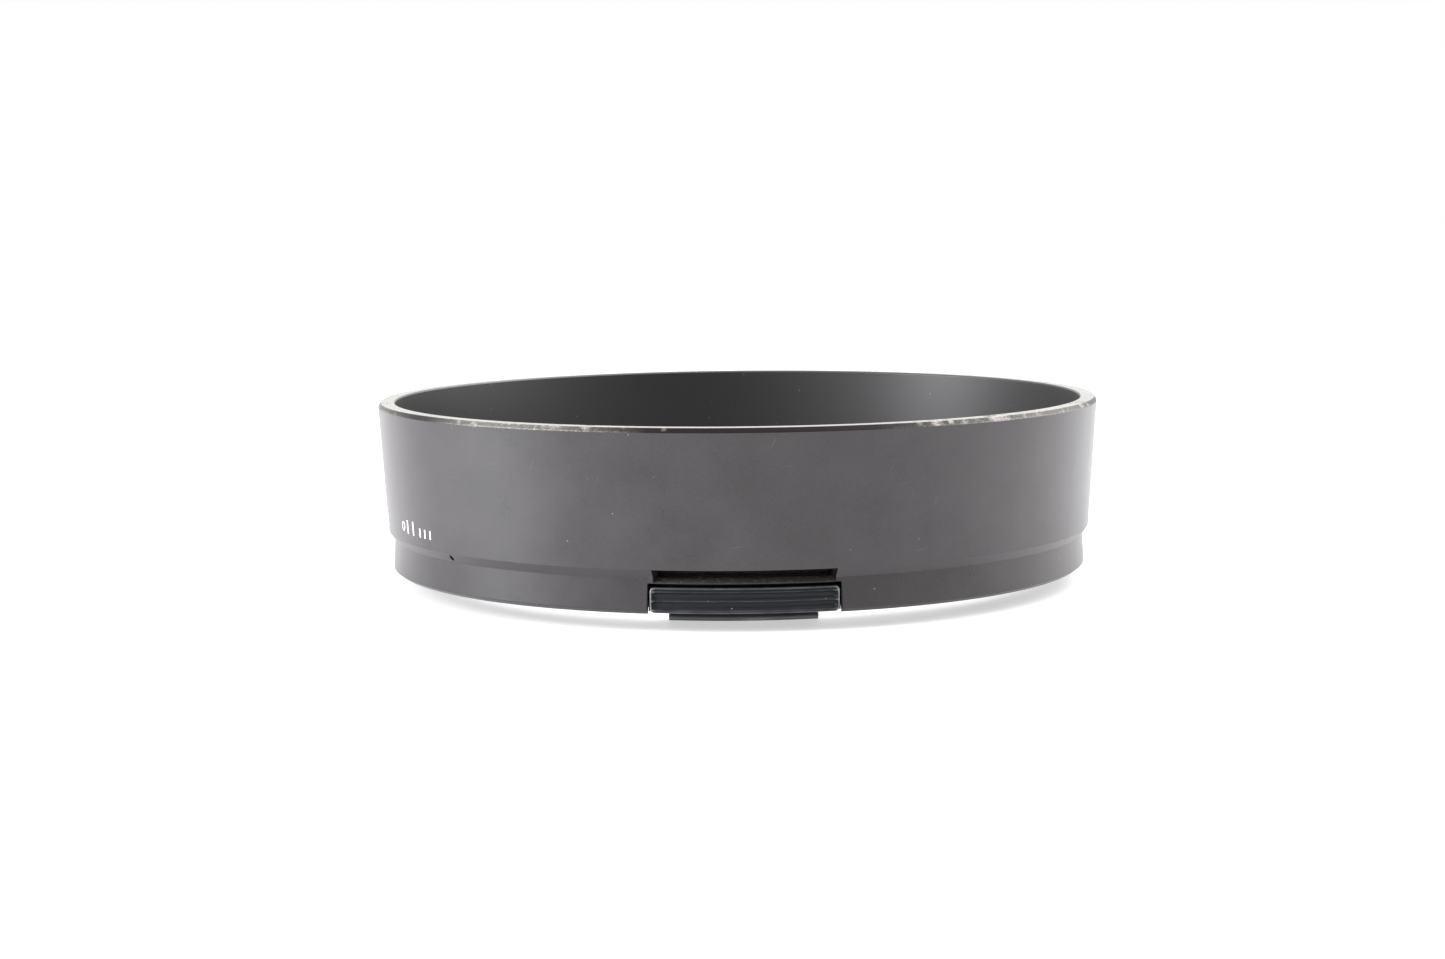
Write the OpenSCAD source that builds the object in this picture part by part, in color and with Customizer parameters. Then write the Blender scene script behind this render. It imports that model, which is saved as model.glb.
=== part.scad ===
// Clip-on lens hood for a 55 mm filter thread.
// Z runs along the optical axis towards the hood's front opening. The origin is on that axis,
// in the plane of the claw tips, on which the hood stands. The front catch is at -Y.

/* [Hood shell] */
// Outer diameter of the straight band at the rear
band_d = 66; // [65:0.25:68]
// Outer diameter of the flared skirt at its lower edge
skirt_d = 67.12; // [66.8:0.02:67.6]
// Outer diameter of the front rim
rim_d = 68.62; // [68.4:0.02:69.4]
// Height from the band's lower edge to the front rim
hood_h = 15.98; // [14:0.01:24]
// Height of the band's straight outer wall
band_h = 3.05; // [3:0.01:3.2]
// Height of the sloped step between band and skirt
step_h = 0.81; // [0.7:0.01:0.9]
// Wall thickness at the front rim
rim_wall = 1.6; // [1.4:0.1:2]
// Width of the bevel round the rim's outer edge
rim_bevel = 0.4; // [0.2:0.05:0.6]
// Wall thickness of the rear band
band_wall = 1.4; // [1.3:0.05:1.5]
// Diameter of the light aperture in the floor
aperture_d = 52; // [51.6:0.1:52.2]
// Thickness of the floor between mechanism and skirt
floor_t = 1.9; // [1.8:0.1:2.4]

/* [Lens fitting] */
// Major diameter over the claws' thread, for a 55 mm filter ring
thread_d = 54.8; // [54.7:0.05:55]
// Pitch of the filter thread
thread_pitch = 0.75; // [0.75]
// How far the claws stand out below the band
claw_drop = 1.5; // [1.3:0.1:2]
// Width of a claw across its chord
claw_w = 13; // [11:0.5:13.5]
// How far a button is pushed to free its claw
travel = 1; // [0.6:0.1:1]

/* [Release button] */
// Width of the ribbed face
button_w = 16.1; // [15.5:0.1:16.5]
// Height of the ribbed face
button_h = 2.18; // [2.1:0.02:2.2]
// Height of the face's lower edge above the band's lower edge
button_lift = 0.12; // [0.1:0.02:0.16]
// Side gap between button and band
button_gap = 0.15; // [0.1:0.05:0.25]
// How far the face stands proud of the band
button_proud = 0.1; // [0:0.05:0.2]

/* [Springs and screws] */
// Outer diameter of a return spring
spring_d = 1.5; // [1.3:0.1:1.6]
// Wire diameter of a return spring
spring_wire = 0.2; // [0.16:0.02:0.22]
// Number of turns in a return spring
spring_turns = 5; // [4:1:6]
// Diameter of the screws' shank
screw_d = 1.44; // [1.2:0.04:1.5]
// Diameter of the circle on which the screws sit
screw_circle_d = 58.8; // [58.4:0.2:59]

/* [Hidden] */
SIDES = ["front", "rear"];
$fn = 96;
eps = 0.01;
big = 50;

// Radii of the shell
band_r = band_d / 2;
skirt_r = skirt_d / 2;
rim_r = rim_d / 2;
rim_in_r = rim_r - rim_wall;
band_in_r = band_r - band_wall;
aperture_r = aperture_d / 2;
skirt_in_r = rim_in_r - 0.75;
lip_t = 1.2;
lip_r = aperture_r + lip_t;

// Levels, from the claw tips upwards
plate_recess = 0.1;
plate_t = 0.75;
slide_gap = 0.1;
roof_lift = 2.65;
band_z = claw_drop;
plate_z = band_z + plate_recess;
seat_z = plate_z + plate_t;
roof_z = band_z + roof_lift;
floor_z = roof_z + floor_t;
step_z = band_z + band_h;
skirt_z = step_z + step_h;
rim_z = band_z + hood_h;

// Small edges of the shell
foot_chamfer = 0.3;
lip_chamfer = 0.15;
fillet_r = 0.7;
fillet_steps = 4;

// Concentric light-trap grooves in the floor
trap_n = 4;
trap_pitch = 1;
trap_depth = 0.25;
trap_r = 27.6;

// Button and the sliding part behind it
slide_z = seat_z + slide_gap;
slide_top = roof_z - slide_gap;
face_r = band_r + button_proud;
face_z = band_z + button_lift;
slide_out_r = band_in_r - 0.1;
face_back_r = slide_out_r - 0.3;
bridge_in_r = slide_out_r - 1.6;
bridge_w = 20.8;
wing_in_x = 7.3;
wing_y = bridge_in_r - 1.1;
corner_r = 0.4;
corner_slack = 0.02;
face_edge = 0.12;

// Grooves of the ribbed face: two wide ones and a hairline under the upper rim
groove_r = 0.46;
groove_depth = 0.27;
groove_pitch = 0.72;
groove_low = 0.66;
groove_margin = 0.2;
hair_r = 0.07;
hair_drop = 0.26;

// Jaw under the button's tongue
jaw_t = 0.8;
jaw_top = slide_z + jaw_t;
jaw_w = claw_w + 0.8;
jaw_in_r = aperture_r + 0.4;
jaw_out_r = bridge_in_r - 0.1;
jaw_gap = 0.15;
thread_r = thread_d / 2;
thread_depth = 0.4;
thread_crests = 2;
tongue_z = jaw_top + 0.05;
tongue_w = 10.4;
stake_x = 3.4;
stake_y = bridge_in_r - 1.4;
tongue_in_y = stake_y - 0.9;
stake_r = 0.55;
stake_gap = 0.03;

// Springs between the wings and the shell's two stops on each side
spring_x = 8.7;
spring_z = (seat_z + roof_z) / 2;
stop_y = aperture_r - 0.1;
stop_in_x = jaw_w / 2 + jaw_gap;
stop_out_x = 10;
stop_reach = 2.5;
spigot_r = 0.42;
spigot_l = 0.8;
spring_gap = 0.03;
spring_steps = 14;
spring_sides = 6;

// Finger scoop above each button
scoop_w = 15.5;
scoop_slope = 2.05;
scoop_edge_y = sqrt(pow(band_r, 2) - pow(scoop_w / 2, 2));
scoop_edge_z = band_z + 3.08;
scoop_shelf_z = band_z + 3.25;
scoop_back_y = band_r - 2.1;

// Screws and their bosses
screw_r = screw_d / 2;
screw_n = 4;
screw_first = 45;
screw_tip_z = roof_z + 0.8;
head_r = 1.35;
head_h = 0.6;
head_gap = 0.05;
boss_r = 1.9;
cross_l = 1.5;
cross_t = 0.3;
cross_depth = 0.35;

// Stiffening ribs in the rear channel
rib_t = 0.8;
rib_angles = [0, 24, -24];

// Index pit in the step, beside the printed marks
pit_r = 0.25;
pit_depth = 0.4;
pit_azimuth = -50.7;

function arc(cx, cy, r, a0, a1, n) =
    [for (i = [0:n]) let (a = a0 + (a1 - a0) * i / n) [cx + r * cos(a), cy + r * sin(a)]];

function trap_groove(r) = [[r + 0.3, floor_z], [r, floor_z - trap_depth], [r - 0.3, floor_z]];

// Outline of the shell's wall and floor, as radius and height
shell_outline = concat(
    [[band_r - foot_chamfer, band_z],
     [band_r, band_z + foot_chamfer],
     [band_r, step_z],
     [skirt_r, skirt_z],
     [rim_r, rim_z - rim_bevel],
     [rim_r - rim_bevel, rim_z],
     [rim_in_r + lip_chamfer, rim_z],
     [rim_in_r, rim_z - lip_chamfer]],
    arc(skirt_in_r - fillet_r, floor_z + fillet_r, fillet_r, 0, -90, fillet_steps),
    [for (i = [trap_n - 1:-1:0]) each trap_groove(trap_r + i * trap_pitch)],
    [[aperture_r + foot_chamfer, floor_z],
     [aperture_r, floor_z - foot_chamfer],
     [aperture_r, seat_z],
     [lip_r, seat_z],
     [lip_r, roof_z],
     [band_in_r, roof_z],
     [band_in_r, band_z]]);

// A ring between two radii, from z0 to z1
module ring(r0, r1, z0, z1) {
    rotate_extrude() {
        translate([r0, z0]) {
            square([r1 - r0, z1 - z0]);
        }
    }
}

// A box centred on X that lies on the -Y side, between two distances from the axis
module front_box(w, y0, y1, z0, z1) {
    translate([-w / 2, -y1, z0]) {
        cube([w, y1 - y0, z1 - z0]);
    }
}

// Repeats its children on the -Y and +Y sides
module both_sides() {
    for (a = [0, 180]) {
        rotate([0, 0, a]) {
            children();
        }
    }
}

// Turns its children to the front or the rear catch
module at_side(side) {
    rotate([0, 0, side == "rear" ? 180 : 0]) {
        children();
    }
}

// Puts its children at each screw
module at_screw(i) {
    rotate([0, 0, screw_first + i * 360 / screw_n]) {
        translate([screw_circle_d / 2, 0, 0]) {
            children();
        }
    }
}

// Slanted cut above the button that makes room for a fingertip
module scoop() {
    low_y = scoop_edge_y + (scoop_edge_z - roof_z) / scoop_slope;
    shelf_y = scoop_edge_y - (scoop_shelf_z - scoop_edge_z) / scoop_slope;
    out_y = scoop_edge_y + 2;
    rotate([90, 0, 90]) {
        translate([0, 0, -scoop_w / 2]) {
            linear_extrude(scoop_w) {
                polygon([[-low_y, roof_z - eps],
                         [-shelf_y, scoop_shelf_z],
                         [-scoop_back_y, scoop_shelf_z],
                         [-scoop_back_y, skirt_z],
                         [-out_y, skirt_z],
                         [-out_y, roof_z - eps]]);
            }
        }
    }
}

// Walls that the return springs push against
module spring_stops() {
    difference() {
        for (s = [-1, 1]) {
            translate([s * (stop_in_x + stop_out_x) / 2, 0, 0]) {
                front_box(stop_out_x - stop_in_x, stop_y - stop_reach, stop_y, seat_z, roof_z + eps);
            }
        }
        translate([0, 0, seat_z - 1]) {
            cylinder(h = roof_z - seat_z + 2, r = aperture_r);
        }
    }
}

module channel_ribs() {
    intersection() {
        ring(lip_r - eps, band_in_r + eps, seat_z, roof_z + eps);
        for (side = [0, 180], a = rib_angles) {
            rotate([0, 0, side + a]) {
                translate([0, -rib_t / 2, seat_z]) {
                    cube([big, rib_t, roof_z - seat_z + eps]);
                }
            }
        }
    }
}

module screw_bosses() {
    intersection() {
        ring(lip_r - eps, band_in_r + eps, seat_z, roof_z + eps);
        for (i = [0:screw_n - 1]) {
            at_screw(i) {
                translate([0, 0, seat_z]) {
                    cylinder(h = roof_z - seat_z + eps, r = boss_r);
                }
            }
        }
    }
}

module index_pit() {
    mid_r = (band_r + skirt_r) / 2;
    rotate([0, 0, pit_azimuth]) {
        translate([0, -mid_r + pit_depth, (step_z + skirt_z) / 2]) {
            rotate([90, 0, 0]) {
                cylinder(h = 2, r = pit_r, $fn = 24);
            }
        }
    }
}

module hood_shell() {
    color([0.11, 0.11, 0.115]) {
        difference() {
            union() {
                difference() {
                    rotate_extrude($fn = 180) {
                        polygon(shell_outline);
                    }
                    both_sides() {
                        front_box(button_w + 2 * button_gap, band_in_r - 2, big, 0, roof_z);
                        front_box(2 * stop_out_x, aperture_r - 4, bridge_in_r, 0, roof_z);
                        scoop();
                    }
                }
                both_sides() {
                    spring_stops();
                }
                channel_ribs();
                screw_bosses();
            }
            for (i = [0:screw_n - 1]) {
                at_screw(i) {
                    cylinder(h = screw_tip_z + 0.1, r = screw_r + 0.02);
                }
            }
            index_pit();
        }
    }
}

module rear_plate() {
    plate_in_r = aperture_r + 0.6;
    plate_out_r = band_in_r - 0.1;
    head_cut_w = button_w + 2 * (button_gap + 0.1);
    head_cut_y = sqrt(pow(face_back_r, 2) - pow(button_w / 2, 2)) - travel - 0.25;
    claw_cut_w = claw_w + 0.6;
    claw_cut_y = thread_r + 0.3;
    color([0.09, 0.09, 0.095]) {
        difference() {
            ring(plate_in_r, plate_out_r, plate_z, seat_z);
            both_sides() {
                front_box(head_cut_w, head_cut_y, big, 0, big);
                front_box(claw_cut_w, aperture_r - 4, claw_cut_y, 0, big);
            }
            for (i = [0:screw_n - 1]) {
                at_screw(i) {
                    cylinder(h = big, r = screw_r + 0.08);
                    translate([0, 0, plate_z - eps]) {
                        cylinder(h = head_h, r1 = head_r + head_gap, r2 = screw_r + head_gap);
                    }
                }
            }
        }
    }
}

// Rounded-corner block that trims the button's face
module face_block() {
    half_w = button_w / 2 - corner_r;
    half_h = button_h / 2 - corner_r + corner_slack;
    translate([0, -face_back_r + 2, face_z + button_h / 2]) {
        rotate([90, 0, 0]) {
            linear_extrude(6) {
                square([button_w, 2 * half_h], center = true);
                square([2 * half_w, 2 * (half_h + corner_r)], center = true);
                for (sx = [-1, 1], sy = [-1, 1]) {
                    translate([sx * half_w, sy * half_h]) {
                        circle(r = corner_r, $fn = 32);
                    }
                }
            }
        }
    }
}

// Concave groove along the face that stops short of its ends
module face_groove(r, depth, z) {
    path_r = face_r - depth + r;
    end_a = asin((button_w / 2 - groove_margin) / path_r);
    translate([0, 0, z]) {
        rotate_extrude(angle = 2 * end_a, start = 270 - end_a) {
            translate([path_r, 0]) {
                circle(r = r, $fn = 32);
            }
        }
    }
}

// Ribbed thumb face in the band's notch
module button_face() {
    top_z = face_z + button_h;
    difference() {
        intersection() {
            rotate_extrude() {
                polygon([[face_back_r, face_z],
                         [face_r - face_edge, face_z],
                         [face_r, face_z + face_edge],
                         [face_r, top_z - face_edge],
                         [face_r - face_edge, top_z],
                         [face_back_r, top_z]]);
            }
            face_block();
        }
        for (i = [0, 1]) {
            face_groove(groove_r, groove_depth, face_z + groove_low + i * groove_pitch);
        }
        face_groove(hair_r, hair_r, top_z - hair_drop);
    }
}

// Bridge behind the band that stops the button's outward travel, with a wing for each spring
module button_bridge() {
    wing_w = bridge_w / 2 - wing_in_x;
    intersection() {
        union() {
            ring(bridge_in_r, slide_out_r, slide_z, slide_top);
            for (s = [-1, 1]) {
                translate([s * (wing_in_x + wing_w / 2), 0, 0]) {
                    front_box(wing_w, wing_y - 0.5, bridge_in_r + 1, slide_z, slide_top);
                }
            }
        }
        ring(0, slide_out_r, slide_z - 1, slide_top + 1);
        front_box(bridge_w, wing_y, big, slide_z - 1, slide_top + 1);
    }
}

module release_button(side) {
    color([0.10, 0.105, 0.12]) {
        at_side(side) {
            button_face();
            button_bridge();
            front_box(tongue_w, tongue_in_y, bridge_in_r + 0.5, tongue_z, slide_top);
            for (s = [-1, 1]) {
                translate([s * stake_x, -stake_y, slide_z + 0.1]) {
                    cylinder(h = tongue_z - slide_z, r = stake_r, $fn = 32);
                }
                translate([s * spring_x, -wing_y - 0.3, spring_z]) {
                    rotate([-90, 0, 0]) {
                        cylinder(h = spigot_l + 0.3, r = spigot_r, $fn = 24);
                    }
                }
            }
        }
    }
}

// Outline of a claw's threaded flank, as radius and height
function thread_crest(z) = [[thread_r - thread_depth, z - 0.28], [thread_r, z - 0.07],
                            [thread_r, z + 0.07], [thread_r - thread_depth, z + 0.28]];

claw_outline = concat(
    [[jaw_in_r, slide_z + eps], [jaw_in_r, 0], [thread_r - thread_depth, 0]],
    [for (i = [0:thread_crests - 1]) each thread_crest((i + 0.5) * thread_pitch)],
    [[thread_r - thread_depth, slide_z + eps]]);

module catch_jaw(side) {
    color([0.14, 0.14, 0.145]) {
        at_side(side) {
            difference() {
                intersection() {
                    ring(jaw_in_r, jaw_out_r, slide_z, jaw_top);
                    front_box(jaw_w, jaw_in_r - 3, big, slide_z, jaw_top);
                }
                for (s = [-1, 1]) {
                    translate([s * stake_x, -stake_y, slide_z - 1]) {
                        cylinder(h = jaw_t + 2, r = stake_r + stake_gap, $fn = 32);
                    }
                }
            }
            intersection() {
                rotate_extrude() {
                    polygon(claw_outline);
                }
                front_box(claw_w, jaw_in_r - 3, big, 0, slide_z + eps);
            }
        }
    }
}

// Points of one ring of the coiled wire, at turn t of the spring
function coil_ring(t, r, rise, wire_r) =
    let (a = 360 * t)
    [for (k = [0:spring_sides - 1])
        let (b = 360 * k / spring_sides, q = r + wire_r * cos(b))
        [q * cos(a), q * sin(a), rise * t + wire_r * sin(b)]];

// Coil of round wire standing on z = 0, with its ends cut square
module coil(length) {
    wire_r = spring_wire / 2;
    coil_r = spring_d / 2 - wire_r;
    n = spring_turns * spring_steps;
    rise = (length - spring_wire) / spring_turns;
    rings = [for (i = [0:n]) coil_ring(i / spring_steps, coil_r, rise, wire_r)];
    points = [for (ring_points = rings) each ring_points];
    walls = [for (i = [0:n - 1], k = [0:spring_sides - 1])
        let (a = i * spring_sides + k, b = i * spring_sides + (k + 1) % spring_sides)
        [b, a, a + spring_sides, b + spring_sides]];
    first_end = [for (k = [0:spring_sides - 1]) k];
    last_end = [for (k = [spring_sides - 1:-1:0]) n * spring_sides + k];
    translate([0, 0, wire_r]) {
        polyhedron(points = points, faces = concat([first_end, last_end], walls));
    }
}

module return_spring(side, hand) {
    s = hand == "left" ? -1 : 1;
    color([0.62, 0.62, 0.6]) {
        at_side(side) {
            translate([s * spring_x, -wing_y + spring_gap, spring_z]) {
                rotate([-90, 0, 0]) {
                    coil(wing_y - stop_y - 2 * spring_gap);
                }
            }
        }
    }
}

module plate_screw(i) {
    color([0.2, 0.2, 0.2]) {
        at_screw(i) {
            difference() {
                union() {
                    translate([0, 0, plate_z]) {
                        cylinder(h = head_h, r1 = head_r, r2 = screw_r, $fn = 48);
                    }
                    translate([0, 0, plate_z + head_h / 2]) {
                        cylinder(h = screw_tip_z - plate_z - head_h / 2 - 0.4, r = screw_r, $fn = 48);
                    }
                    translate([0, 0, screw_tip_z - 0.4]) {
                        cylinder(h = 0.4, r1 = screw_r, r2 = screw_r / 2, $fn = 48);
                    }
                }
                for (a = [0, 90]) {
                    rotate([0, 0, a]) {
                        translate([-cross_l / 2, -cross_t / 2, plate_z - 1]) {
                            cube([cross_l, cross_t, cross_depth + 1]);
                        }
                    }
                }
            }
        }
    }
}

hood_shell();
rear_plate();
for (side = SIDES) {
    release_button(side);
    catch_jaw(side);
    for (hand = ["left", "right"]) {
        return_spring(side, hand);
    }
}
for (i = [0:screw_n - 1]) {
    plate_screw(i);
}
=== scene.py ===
import math
import random

import bmesh
import bpy
from mathutils import Matrix, Vector


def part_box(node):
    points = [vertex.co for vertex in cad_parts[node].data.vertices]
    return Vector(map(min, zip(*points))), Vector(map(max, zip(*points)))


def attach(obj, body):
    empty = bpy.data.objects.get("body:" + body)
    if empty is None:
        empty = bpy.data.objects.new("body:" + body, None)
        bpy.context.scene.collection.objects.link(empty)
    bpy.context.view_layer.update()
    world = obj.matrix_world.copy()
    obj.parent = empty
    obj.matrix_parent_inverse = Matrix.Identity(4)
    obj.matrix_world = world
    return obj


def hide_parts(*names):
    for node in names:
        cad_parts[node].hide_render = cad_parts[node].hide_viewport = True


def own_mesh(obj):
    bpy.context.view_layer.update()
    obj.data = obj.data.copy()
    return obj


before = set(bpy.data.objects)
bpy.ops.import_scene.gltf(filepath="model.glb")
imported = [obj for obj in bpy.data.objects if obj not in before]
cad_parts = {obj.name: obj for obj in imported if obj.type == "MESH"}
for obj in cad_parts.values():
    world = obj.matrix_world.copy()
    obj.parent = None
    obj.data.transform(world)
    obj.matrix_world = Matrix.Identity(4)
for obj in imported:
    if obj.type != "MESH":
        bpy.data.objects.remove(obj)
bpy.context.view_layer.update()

mm = 0.001
scene = bpy.context.scene
print("frame loaded")


# Camera: a short portrait lens a quarter of a metre in front of the hood, a little above its rim.
# Its numbers come from a least-squares fit made by a separate program, not from setting it by eye
cameraView = {
    "focusMm": 64.4,
    "sensorMm": 36.0,
    "distanceMm": 249.9,
    "aimHeightMm": 10.0,
    "azimuthDeg": -0.87,
    "elevationDeg": 6.31,
    "panDeg": -0.34,
    "tiltDeg": 0.16,
    "rollDeg": 0.55,
}


def placeCamera(view):
    e = math.radians(view["elevationDeg"])
    right = Vector((1, 0, 0))
    forward = Vector((0, math.cos(e), -math.sin(e)))
    up = right.cross(forward)
    basis = Matrix((right, up, -forward)).transposed()
    roll = Matrix.Rotation(math.radians(view["rollDeg"]), 3, "Z")
    tilt = Matrix.Rotation(math.radians(view["tiltDeg"]), 3, "X")
    pan = Matrix.Rotation(math.radians(view["panDeg"]), 3, "Y")
    turn = Matrix.Rotation(math.radians(view["azimuthDeg"]), 3, "Z")
    place = Vector((0, 0, view["aimHeightMm"] * mm)) - forward * view["distanceMm"] * mm
    data = bpy.data.cameras.new("camera")
    data.sensor_width = view["sensorMm"]
    data.lens = view["focusMm"]
    data.clip_start = 0.01
    data.clip_end = 50
    camera = bpy.data.objects.new("camera", data)
    facing = turn @ basis @ (roll @ tilt @ pan).transposed()
    camera.matrix_world = Matrix.Translation(turn @ place) @ facing.to_4x4()
    scene.collection.objects.link(camera)
    scene.camera = camera


placeCamera(cameraView)
print("camera placed")


# Colours are written as sRGB hex and turned to linear here
def hexColor(text):
    channels = [int(text[i:i + 2], 16) / 255 for i in (1, 3, 5)]
    linear = [c / 12.92 if c <= 0.04045 else ((c + 0.055) / 1.055) ** 2.4 for c in channels]
    return (*linear, 1.0)


# Adds one node. Settings and links name a socket, by name or by number, or else a property of the node
def addNode(tree, kind, settings=None, links=None):
    node = tree.nodes.new(kind)
    for key, value in (settings or {}).items():
        if not isinstance(key, int) and hasattr(node, key):
            setattr(node, key, value)
        else:
            node.inputs[key].default_value = value
    for key, source in (links or {}).items():
        tree.links.new(source, node.inputs[key])
    return node


def newMaterial(name):
    material = bpy.data.materials.new(name)
    material.use_nodes = True
    tree = material.node_tree
    tree.nodes.clear()
    return material, tree


# Object position in millimetres, stretched along each axis: a small number makes a pattern long that way
def placeInMm(tree, stretch=(1, 1, 1), turn=(0, 0, 0)):
    place = addNode(tree, "ShaderNodeTexCoord").outputs["Object"]
    settings = {"Scale": [s / mm for s in stretch], "Rotation": turn}
    return addNode(tree, "ShaderNodeMapping", settings, {"Vector": place}).outputs[0]


# Noise whose grain is grainMm wide, as a value from 0 to 1
def grain(tree, grainMm, detail=3, stretch=(1, 1, 1), turn=(0, 0, 0)):
    settings = {"Scale": 1 / grainMm, "Detail": detail, "Roughness": 0.55}
    place = placeInMm(tree, stretch, turn)
    return addNode(tree, "ShaderNodeTexNoise", settings, {"Vector": place}).outputs["Fac"]


# Spreads the part of a value that lies between low and high over 0 to 1, or between two other numbers
def spread(tree, value, low, high, outLow=0.0, outHigh=1.0):
    settings = {"From Min": low, "From Max": high, "To Min": outLow, "To Max": outHigh}
    return addNode(tree, "ShaderNodeMapRange", settings, {"Value": value}).outputs[0]


def combine(tree, how, a, b):
    node = addNode(tree, "ShaderNodeMath", {"operation": how})
    for key, value in enumerate((a, b)):
        if isinstance(value, (int, float)):
            node.inputs[key].default_value = value
        else:
            tree.links.new(value, node.inputs[key])
    return node.outputs[0]


def blendColor(tree, factor, a, b):
    node = addNode(tree, "ShaderNodeMix", {"data_type": "RGBA"}, {0: factor})
    for key, value in ((6, a), (7, b)):
        if isinstance(value, tuple):
            node.inputs[key].default_value = value
        else:
            tree.links.new(value, node.inputs[key])
    return node.outputs[2]


# The wall laid out flat: millimetres round the hood, then millimetres up it
def unrolled(tree, radiusMm):
    place = addNode(tree, "ShaderNodeSeparateXYZ", links={0: placeInMm(tree)})
    back = combine(tree, "MULTIPLY", place.outputs["Y"], -1)
    angle = combine(tree, "ARCTAN2", place.outputs["X"], back)
    links = {"X": combine(tree, "MULTIPLY", angle, radiusMm), "Y": place.outputs["Z"]}
    return addNode(tree, "ShaderNodeCombineXYZ", links=links).outputs[0]


# Scattered spots on a flat layout, about gap apart. Each has its own random value and size(mm, mm)
def scatter(tree, layout, gap, size, share, tiltDeg=0):
    reach = size[1] / gap / 2
    scale = (size[1] / size[0] / gap, 1 / gap, 1)
    turn = (0, 0, math.radians(tiltDeg))
    place = addNode(tree, "ShaderNodeMapping", {"vector_type": "TEXTURE", "Rotation": turn,
                                                "Scale": [1 / s for s in scale]}, {"Vector": layout})
    cells = addNode(tree, "ShaderNodeTexVoronoi", {"voronoi_dimensions": "2D", "Scale": 1.0},
                    {"Vector": place.outputs[0]})
    near = spread(tree, cells.outputs["Distance"], reach * 0.55, reach, 1, 0)
    hue = addNode(tree, "ShaderNodeSeparateColor", links={0: cells.outputs["Color"]})
    shown = combine(tree, "LESS_THAN", hue.outputs[0], share)
    return combine(tree, "MULTIPLY", near, shown), hue.outputs[1]


def bump(tree, height, distanceMm, strength=1.0, below=None):
    links = {"Height": height}
    if below is not None:
        links["Normal"] = below
    settings = {"Distance": distanceMm * mm, "Strength": strength}
    return addNode(tree, "ShaderNodeBump", settings, links).outputs[0]


def shade(tree, settings, links):
    shader = addNode(tree, "ShaderNodeBsdfPrincipled", settings, links)
    addNode(tree, "ShaderNodeOutputMaterial", links={"Surface": shader.outputs[0]})


def attribute(tree, name):
    return addNode(tree, "ShaderNodeAttribute", {"attribute_name": name}).outputs["Fac"]


# ABS moulded in a polished tool, then rubbed by years of handling: satin black that mirrors
# the surroundings softly, with fingerprints, hairlines, short scratches and a little dust
satinAbs = {
    "color": "#191818",
    "haze": "#393637",
    "scratch": "#6f6d6b",
    "dust": "#d9d5ca",
    "grit": "#b89c78",
    "film": "#65625e",
    "roughness": (0.25, 0.33),
    "hazeMm": 5.0,
    "bandMm": 2.6,
    "speckleMm": 0.13,
    "hairlineMm": 0.16,
    "wallR": 34.0,
    "specular": 0.5,
    "ior": 1.53,
}

# Below the step the same plastic is given a weaker reflection, so the band comes out darker than the skirt
weakerReflectionAbs = dict(satinAbs, specular=0.36)


def makeSatinAbs(name, look):
    material, tree = newMaterial(name)
    wall = unrolled(tree, look["wallR"])
    haze = spread(tree, grain(tree, look["hazeMm"], 5), 0.25, 0.75)
    bands = spread(tree, grain(tree, look["bandMm"], 2, (1, 1, 0.06)), 0.1, 0.9)
    speckle = spread(tree, grain(tree, look["speckleMm"], 3), 0.2, 0.8)
    hairlines = grain(tree, look["hairlineMm"], 2, (0.03, 0.03, 1))
    steep, steepShade = scatter(tree, wall, 1.4, (1.3, 0.05), 0.5, 62)
    level, levelShade = scatter(tree, wall, 1.1, (1.6, 0.045), 0.5, 8)
    lint, lintShade = scatter(tree, wall, 2.9, (0.13, 0.07), 0.22, 30)
    grit, gritShade = scatter(tree, wall, 0.34, (0.12, 0.1), 0.42)
    marks = combine(tree, "MAXIMUM", combine(tree, "MULTIPLY", steep, steepShade),
                    combine(tree, "MULTIPLY", level, levelShade))
    base = blendColor(tree, combine(tree, "MULTIPLY", combine(tree, "ADD", haze, speckle), 0.5),
                      hexColor(look["color"]), hexColor(look["haze"]))
    base = blendColor(tree, combine(tree, "MULTIPLY", marks, 0.5), base, hexColor(look["scratch"]))
    base = blendColor(tree, combine(tree, "MULTIPLY", lint, combine(tree, "MULTIPLY", lintShade, 0.6)), base,
                      hexColor(look["dust"]))
    film = combine(tree, "MULTIPLY", spread(tree, grain(tree, 0.22, 4), 0.3, 0.75), attribute(tree, "dusty"))
    base = blendColor(tree, film, base, hexColor(look["film"]))
    gritColor = blendColor(tree, combine(tree, "GREATER_THAN", gritShade, 0.72), hexColor(look["dust"]),
                           hexColor(look["grit"]))
    gritHere = combine(tree, "MULTIPLY", grit, gritShade)
    gritHere = combine(tree, "MULTIPLY", gritHere, attribute(tree, "dusty"))
    base = blendColor(tree, gritHere, base, gritColor)
    low, high = look["roughness"]
    hazeShare = combine(tree, "MULTIPLY", haze, 0.4)
    uneven = combine(tree, "ADD", combine(tree, "MULTIPLY", bands, 0.4), hazeShare)
    uneven = combine(tree, "ADD", uneven, combine(tree, "MULTIPLY", speckle, 0.3))
    scratched = combine(tree, "MULTIPLY", marks, 0.15)
    rough = combine(tree, "ADD", spread(tree, uneven, 0, 1, low, high), scratched)
    normal = bump(tree, hairlines, 0.003, 0.5)
    normal = bump(tree, grain(tree, 0.3, 3), 0.004, 0.5, normal)
    normal = bump(tree, combine(tree, "SUBTRACT", lint, marks), 0.01, 0.5, normal)
    shade(tree, {"IOR": look["ior"], "Specular IOR Level": look["specular"]},
          {"Base Color": base, "Roughness": rough, "Normal": normal})
    return material


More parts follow.
